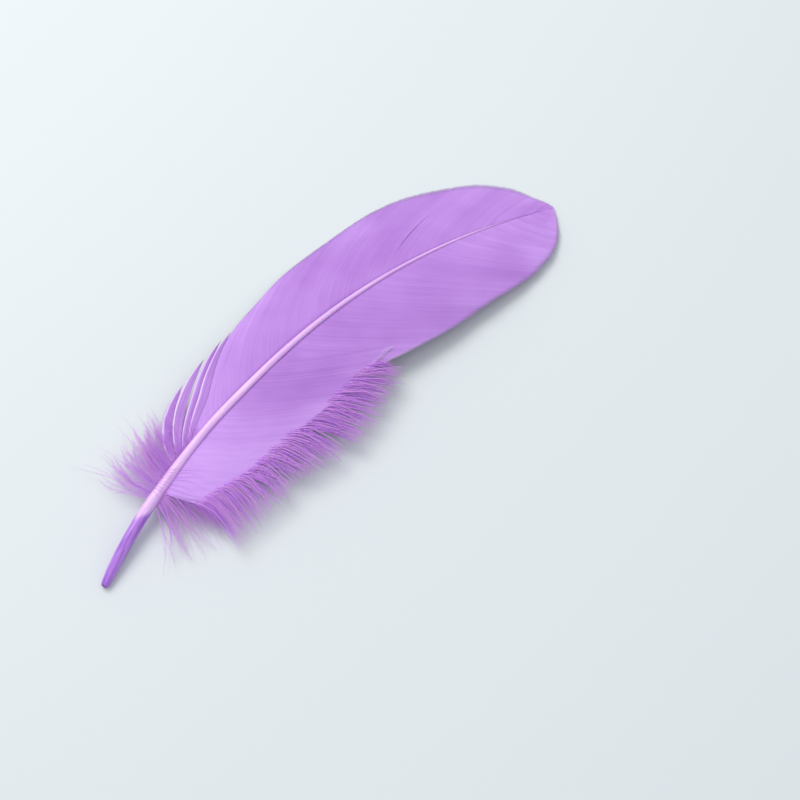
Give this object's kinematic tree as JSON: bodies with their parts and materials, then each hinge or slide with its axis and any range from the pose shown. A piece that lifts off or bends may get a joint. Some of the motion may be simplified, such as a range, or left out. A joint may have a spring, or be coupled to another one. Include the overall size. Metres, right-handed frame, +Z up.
{
  "type": "goose quill feather",
  "caption": "Dyed lilac quill feather lying on its inner side: hollow quill, arched shaft, two vanes and a fluffy downy foot.",
  "frame": {"origin": "on the surface that the feather lies on, under the middle of its outer box", "axes": "+X from the quill's cut end to the vane's tip, +Y towards the narrow vane, +Z up out of the surface"},
  "size_m": [0.1704, 0.0558, 0.0089],
  "materials": {
    "vane": "silky matte dyed barbs",
    "down": "loose fluffy dyed barbs",
    "shaft": "pale satin keratin",
    "quill": "translucent glossy dyed keratin"
  },
  "bodies": {
    "root": {"feather": "vane"}
  },
  "joints": []
}
